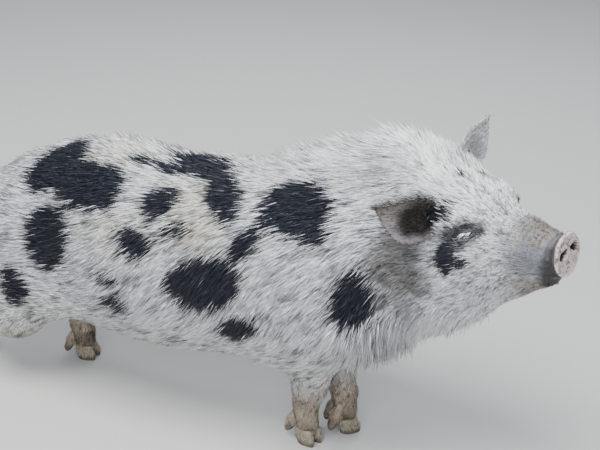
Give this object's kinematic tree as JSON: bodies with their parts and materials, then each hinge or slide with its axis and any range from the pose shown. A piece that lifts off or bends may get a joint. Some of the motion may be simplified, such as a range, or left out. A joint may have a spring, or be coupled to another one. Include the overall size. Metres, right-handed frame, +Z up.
{
  "type": "pig",
  "caption": "Small spotted bristly pig standing on four cloven feet, its head raised and turned to its right; a still, life-size display model.",
  "frame": {"origin": "on the floor, below the middle of the model's bounding box", "axes": "+X towards the snout, along the body; +Y towards the pig's left side; +Z up"},
  "size_m": [0.9682, 0.265, 0.4992],
  "materials": {
    "coat": "coarse white bristles with blue-black spots, lying flat along the body",
    "bare_skin": "bare pinkish-grey skin, matte to slightly moist",
    "eye": "dark brown, wet gloss",
    "claw": "dull pale horn, stained with soil near the edges"
  },
  "bodies": {
    "root": {"head": "coat", "lower_jaw": "coat", "snout_disc": "bare_skin", "eye_left": "eye", "eye_right": "eye", "ear_left": "bare_skin", "ear_right": "bare_skin", "neck": "coat", "trunk": "coat", "tail": "coat", "front_right_upper": "coat", "front_right_lower": "coat", "front_right_claw_left": "claw", "front_right_dewclaw_left": "claw", "front_right_claw_right": "claw", "front_right_dewclaw_right": "claw", "front_left_upper": "coat", "front_left_lower": "coat", "front_left_claw_left": "claw", "front_left_dewclaw_left": "claw", "front_left_claw_right": "claw", "front_left_dewclaw_right": "claw", "hind_right_upper": "coat", "hind_right_lower": "coat", "hind_right_claw_left": "claw", "hind_right_dewclaw_left": "claw", "hind_right_claw_right": "claw", "hind_right_dewclaw_right": "claw", "hind_left_upper": "coat", "hind_left_lower": "coat", "hind_left_claw_left": "claw", "hind_left_dewclaw_left": "claw", "hind_left_claw_right": "claw", "hind_left_dewclaw_right": "claw"}
  },
  "joints": []
}
